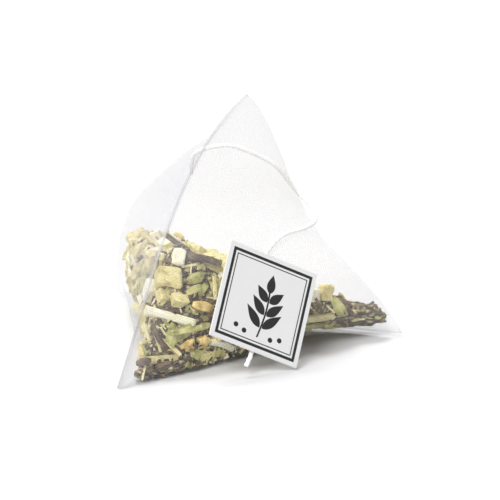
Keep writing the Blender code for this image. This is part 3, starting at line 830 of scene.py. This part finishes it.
def scatter_tree():
    """Scatters shreds over a surface, with named inputs, and clear of the larger pieces."""
    tree = bpy.data.node_groups.new("scatter_shreds", "GeometryNodeTree")
    tree.interface.new_socket("Geometry", in_out="INPUT", socket_type="NodeSocketGeometry")
    for label, kind in (("Shred", "Object"), ("Density", "Float"), ("Smallest", "Float"),
                        ("Largest", "Float"), ("Tilt", "Float"), ("Seed", "Int"), ("Finish", "Material"),
                        ("Larger pieces", "Object"), ("Clear margin", "Float")):
        tree.interface.new_socket(label, in_out="INPUT", socket_type="NodeSocket" + kind)
    tree.interface.new_socket("Geometry", in_out="OUTPUT", socket_type="NodeSocketGeometry")
    nodes, links = tree.nodes, tree.links
    start = nodes.new("NodeGroupInput")
    end = nodes.new("NodeGroupOutput")
    spread = nodes.new("GeometryNodeDistributePointsOnFaces")
    links.new(start.outputs["Geometry"], spread.inputs["Mesh"])
    links.new(start.outputs["Density"], spread.inputs["Density"])
    links.new(start.outputs["Seed"], spread.inputs["Seed"])
    shred = nodes.new("GeometryNodeObjectInfo")
    links.new(start.outputs["Shred"], shred.inputs["Object"])
    larger = nodes.new("GeometryNodeObjectInfo")
    links.new(start.outputs["Larger pieces"], larger.inputs["Object"])
    near = nodes.new("GeometryNodeProximity")
    links.new(larger.outputs["Geometry"], near.inputs[0])
    close = nodes.new("FunctionNodeCompare")
    close.data_type = "FLOAT"
    close.operation = "LESS_THAN"
    links.new(near.outputs["Distance"], close.inputs[0])
    links.new(start.outputs["Clear margin"], close.inputs[1])
    kept = nodes.new("GeometryNodeDeleteGeometry")
    links.new(spread.outputs["Points"], kept.inputs["Geometry"])
    links.new(close.outputs[0], kept.inputs["Selection"])
    copies = nodes.new("GeometryNodeInstanceOnPoints")
    links.new(kept.outputs[0], copies.inputs["Points"])
    links.new(shred.outputs["Geometry"], copies.inputs["Instance"])
    spin = nodes.new("FunctionNodeRandomValue")
    spin.data_type = "FLOAT_VECTOR"
    links.new(start.outputs["Seed"], spin.inputs["Seed"])
    tilt = nodes.new("ShaderNodeCombineXYZ")
    links.new(start.outputs["Tilt"], tilt.inputs[0])
    links.new(start.outputs["Tilt"], tilt.inputs[1])
    tilt.inputs[2].default_value = math.pi
    back = nodes.new("ShaderNodeVectorMath")
    back.operation = "SCALE"
    back.inputs["Scale"].default_value = -1.0
    links.new(tilt.outputs[0], back.inputs[0])
    links.new(back.outputs[0], spin.inputs[0])
    links.new(tilt.outputs[0], spin.inputs[1])
    turned = nodes.new("FunctionNodeRotateRotation")
    turned.rotation_space = "LOCAL"
    links.new(spread.outputs["Rotation"], turned.inputs["Rotation"])
    links.new(spin.outputs[0], turned.inputs["Rotate By"])
    links.new(turned.outputs[0], copies.inputs["Rotation"])
    scale = nodes.new("FunctionNodeRandomValue")
    scale.data_type = "FLOAT"
    links.new(start.outputs["Smallest"], scale.inputs[2])
    links.new(start.outputs["Largest"], scale.inputs[3])
    links.new(scale.outputs[1], copies.inputs["Scale"])
    whole = nodes.new("GeometryNodeRealizeInstances")
    links.new(copies.outputs[0], whole.inputs[0])
    coat = nodes.new("GeometryNodeSetMaterial")
    links.new(whole.outputs[0], coat.inputs["Geometry"])
    links.new(start.outputs["Finish"], coat.inputs["Material"])
    links.new(coat.outputs[0], end.inputs[0])
    return tree


def drop_crossing(mesh, points_each, walls):
    """Takes out the shreds that would touch the bag's skin or stick out of it."""
    outside = set()
    for v in mesh.vertices:
        if v.index // points_each in outside:
            continue
        spot, normal, _, gap = walls.find_nearest(v.co)
        if gap < MESH_GAP or (v.co - spot).dot(normal) > 0:
            outside.add(v.index // points_each)
    body = bmesh.new()
    body.from_mesh(mesh)
    bmesh.ops.delete(body, geom=[v for v in body.verts if v.index // points_each in outside], context="VERTS")
    body.to_mesh(mesh)
    body.free()


def joined_solids(nodes):
    """One scratch object with the meshes of several nodes."""
    body = bmesh.new()
    for node in nodes:
        body.from_mesh(frame["nodes"][node].data)
    mesh = bpy.data.meshes.new("larger_pieces")
    body.to_mesh(mesh)
    body.free()
    larger = bpy.data.objects.new("larger_pieces", mesh)
    bpy.context.scene.collection.objects.link(larger)
    return larger


def loose_shreds(bed, finishes):
    """All the small shreds that lie on the crumb bed, one piece for each kind."""
    tree = scatter_tree()
    larger = joined_solids(seen_nodes())
    names = {s.name: s.identifier for s in tree.interface.items_tree if s.in_out == "INPUT"}
    walls = wall_tree(wall_mesh())
    for seed, (name, slot, size, density, least, most, tilt, margin) in enumerate(SHREDS):
        shred = splinter(*size)
        host = bpy.data.objects.new(name, bed.data.copy())
        bpy.context.scene.collection.objects.link(host)
        even = host.modifiers.new("even_out", "SMOOTH")
        even.factor = 0.5
        even.iterations = 12
        scatter = host.modifiers.new("scatter_shreds", "NODES")
        scatter.node_group = tree
        values = {"Shred": shred, "Density": density, "Smallest": least, "Largest": most,
                  "Tilt": tilt, "Seed": 5 + seed, "Finish": finishes[slot],
                  "Larger pieces": larger, "Clear margin": margin}
        for label, value in values.items():
            scatter[names[label]] = value
        mesh = plain_mesh(host)
        drop_crossing(mesh, len(shred.data.vertices), walls)
        bpy.data.objects.remove(host)
        bpy.data.objects.remove(shred)
        mesh.name = name
        show(name, mesh, finishes[slot])
    bpy.data.objects.remove(larger)


# The string


def smooth_route(route, gap):
    """Points a gap apart on a smooth curve through the route's own points."""
    knots = np.array([2 * np.array(route[0]) - np.array(route[1]), *route,
                      2 * np.array(route[-1]) - np.array(route[-2])])
    fine = []
    for a, b, c, d in zip(knots, knots[1:], knots[2:], knots[3:]):
        for t in np.linspace(0.0, 1.0, 20, endpoint=False):
            bend = 2 * a - 5 * b + 4 * c - d
            swing = 3 * b - a - 3 * c + d
            fine.append((2 * b + (c - a) * t + bend * t ** 2 + swing * t ** 3) / 2)
    fine.append(knots[-2])
    fine = np.array(fine)
    run = np.concatenate([[0.0], np.cumsum(np.linalg.norm(np.diff(fine, axis=0), axis=1))])
    stations = np.linspace(0.0, run[-1], int(run[-1] / gap) + 1)
    return np.stack([np.interp(stations, run, fine[:, k]) for k in range(3)], axis=1), run[-1]


def string_finish():
    """Soft white cotton: a fine fuzz in its tint, and fibres along it as relief."""
    made, nodes, links, shader = new_material("cotton_string")
    tree = made.node_tree
    place = nodes.new("ShaderNodeUVMap")
    place.uv_map = "strand"
    fuzz = speckle(tree, object_place(tree), 5200.0, 3.0)
    fibre = speckle(tree, place.outputs[0], 1.0, 3.0, (9000.0, 2500.0, 1.0))
    colour = blend_colour(tree, ramp(tree, fuzz, 0.3, 0.7), *STRING_TINTS)
    links.new(colour, shader.inputs["Base Color"])
    shader.inputs["Roughness"].default_value = 0.9
    shader.inputs["Sheen Weight"].default_value = 0.4
    bump(tree, fibre, 0.00004, shader, 0.8)
    return made


def twisted_string(finish):
    """The string as a tube of three twisted plies along its route."""
    route = [tuple(np.array(p) + SHIFT) for p in STRING_ROUTE]
    path, length = smooth_route(route, STRING_STEP)
    tangents = np.gradient(path, axis=0)
    tangents /= np.linalg.norm(tangents, axis=1)[:, None]
    sides = STRING_SIDES
    points = []
    side = Vector(tangents[0]).orthogonal().normalized()
    for n, (spot, ahead) in enumerate(zip(path, tangents)):
        ahead = Vector(ahead)
        side = (side - ahead * side.dot(ahead)).normalized()
        lift = ahead.cross(side)
        twist = n * STRING_STEP / STRING_LAY * 2 * math.pi
        for k in range(sides):
            angle = 2 * math.pi * k / sides
            ply = abs(math.cos(PLIES / 2 * (angle - twist / PLIES)))
            wool = WOOL_SHARE * noise.noise(Vector((n * 0.3, k * 0.7, 0.0)))
            radius = STRING_DIAMETER / 2 * (CORE_SHARE + PLY_SHARE * ply + wool)
            points.append(Vector(spot) + (side * math.cos(angle) + lift * math.sin(angle)) * radius)
    rows = len(path)
    faces = []
    for i in range(rows - 1):
        for j in range(sides):
            k = (j + 1) % sides
            faces.append((i * sides + j, i * sides + k, (i + 1) * sides + k, (i + 1) * sides + j))
    faces.append(tuple(range(sides)))
    faces.append(tuple((rows - 1) * sides + k for k in range(sides)))
    mesh = bpy.data.meshes.new("string_plies")
    mesh.from_pydata(points, [], faces)
    layer = mesh.uv_layers.new(name="strand")
    for face in mesh.polygons:
        for n in face.loop_indices:
            v = mesh.loops[n].vertex_index
            layer.data[n].uv = (v // sides * STRING_STEP, v % sides * STRING_COLUMN)
    facing_out(mesh)
    mesh.shade_smooth()
    piece = show("cotton_string", mesh, finish)
    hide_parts("string")
    return piece, path, length


# The tag


def paper_finish(name, dark, light):
    """Thin card or ink: a faint grain with soft mottling."""
    made, nodes, links, shader = new_material(name)
    tree = made.node_tree
    place = object_place(tree)
    grain = speckle(tree, place, 3800.0, 4.0)
    mottle = speckle(tree, place, 260.0, 2.0)
    both = calc(tree, "ADD", calc(tree, "MULTIPLY", grain, 0.6), calc(tree, "MULTIPLY", mottle, 0.4))
    links.new(blend_colour(tree, ramp(tree, both, 0.35, 0.65), dark, light), shader.inputs["Base Color"])
    shader.inputs["Roughness"].default_value = 0.62
    bump(tree, grain, 0.00002, shader, 0.5)
    return made


def on_tag(x, y, lift):
    """Point on the tag's front, from its middle, at a height above the card."""
    flat = Vector((x, -(TAG_THICKNESS / 2 + lift), y))
    return TAG_TURN.to_matrix() @ flat + TAG_PLACE


def leaf_outline(root_x, root_y, angle, length, width):
    """A pointed leaf that grows from a point at an angle, in shares of the tag's side."""
    outline = []
    steps = 14
    for way in (1, -1):
        for k in range(steps):
            t = k / steps if way > 0 else 1 - k / steps
            half = way * width / 2 * math.sin(math.pi * t ** 0.8) * (1 - 0.25 * t)
            x = length * t
            outline.append((root_x + x * math.cos(angle) - half * math.sin(angle),
                            root_y + x * math.sin(angle) + half * math.cos(angle)))
    return outline


def printed_shapes():
    """Outlines of the print on the tag: a double border and a leafy sprig, in shares of its side."""
    shapes = []
    corners = [(-1, -1), (1, -1), (1, 1), (-1, 1)]
    for outer, inner in BORDERS:
        for k in range(4):
            a, b = corners[k], corners[(k + 1) % 4]
            shapes.append([(a[0] * outer, a[1] * outer), (b[0] * outer, b[1] * outer),
                           (b[0] * inner, b[1] * inner), (a[0] * inner, a[1] * inner)])
    stem = [(0.040 * math.sin(2.2 * t), -0.35 + 0.48 * t) for t in np.linspace(0, 1, 15)]
    shapes.append([(x - STEM_HALF, y) for x, y in stem] + [(x + STEM_HALF, y) for x, y in reversed(stem)])
    for k, at in enumerate((3, 7, 11)):
        x, y = stem[at]
        size = 0.265 - 0.035 * k
        shapes.append(leaf_outline(x - LEAF_ROOT, y, math.radians(134), size, LEAF_WIDTH))
        shapes.append(leaf_outline(x + LEAF_ROOT, y, math.radians(46), size, LEAF_WIDTH))
    shapes.append(leaf_outline(stem[-1][0], stem[-1][1] - 0.01, math.radians(90), 0.20, LEAF_WIDTH))
    for x, y in DOTS:
        shapes.append([(x + DOT_RADIUS * math.cos(a), y + DOT_RADIUS * math.sin(a))
                       for a in np.linspace(0, 2 * math.pi, 20, endpoint=False)])
    return shapes


def printed_tag(finish):
    """The print as a very thin layer of ink on the card's front."""
    body = bmesh.new()
    for outline in printed_shapes():
        rings = []
        for lift in INK_FACES:
            rings.append([body.verts.new(on_tag(x * TAG_SIDE, y * TAG_SIDE, lift)) for x, y in outline])
        body.faces.new(rings[0])
        body.faces.new(rings[1])
        for k in range(len(outline)):
            nxt = (k + 1) % len(outline)
            body.faces.new((rings[0][k], rings[0][nxt], rings[1][nxt], rings[1][k]))
    bmesh.ops.triangulate(body, faces=body.faces)
    bmesh.ops.recalc_face_normals(body, faces=body.faces)
    mesh = bpy.data.meshes.new("tag_print")
    body.to_mesh(mesh)
    body.free()
    return show("tag_print", mesh, finish)


def place_floor():
    """A plain pale floor."""
    mesh = bpy.data.meshes.new("pale_floor")
    size = 3.0
    corners = [(-size, -size, 0), (size, -size, 0), (size, size, 0), (-size, size, 0)]
    mesh.from_pydata(corners, [], [(0, 1, 2, 3)])
    made, nodes, links, shader = new_material("pale_floor")
    tree = made.node_tree
    tint = blend_colour(tree, speckle(tree, object_place(tree), 6.0, 2.0), *FLOOR_TINTS)
    links.new(tint, shader.inputs["Base Color"])
    shader.inputs["Roughness"].default_value = 0.9
    shader.inputs["Specular IOR Level"].default_value = 0.1
    mesh.materials.append(made)
    floor = bpy.data.objects.new("pale_floor", mesh)
    bpy.context.scene.collection.objects.link(floor)


def place_lights():
    """Soft studio light: one lamp high behind, one from the front left, and a dim white room."""
    bpy.context.scene.view_settings.view_transform = "Standard"
    world = bpy.data.worlds.new("studio")
    bpy.context.scene.world = world
    world.use_nodes = True
    room = world.node_tree.nodes["Background"]
    room.inputs["Color"].default_value = ROOM_COLOUR
    room.inputs["Strength"].default_value = ROOM_LIGHT
    for name, way, power, spread in STUDIO_LAMPS:
        data = bpy.data.lights.new(name, "SUN")
        data.energy = power
        data.angle = math.radians(spread)
        lamp = bpy.data.objects.new(name, data)
        lamp.rotation_euler = Vector(way).to_track_quat("Z", "Y").to_euler()
        bpy.context.scene.collection.objects.link(lamp)


place_camera()
string = twisted_string(string_finish())
fibre = fibre_group()
finishes = {look[0]: herb_finish(look[0], fibre, *look[1:]) for look in HERB_LOOKS}
woven_bag(mesh_finish(weave_group()))
herb_pieces(finishes)
bed = crumb_bed(crumb_finish())
loose_shreds(bed, finishes)
tag_card = paper_finish("tag_card", *CARD_TINTS)
frame["nodes"]["tag"].data.materials.clear()
frame["nodes"]["tag"].data.materials.append(tag_card)
ink = printed_tag(paper_finish("black_ink", *INK_TINTS))
place_floor()
place_lights()
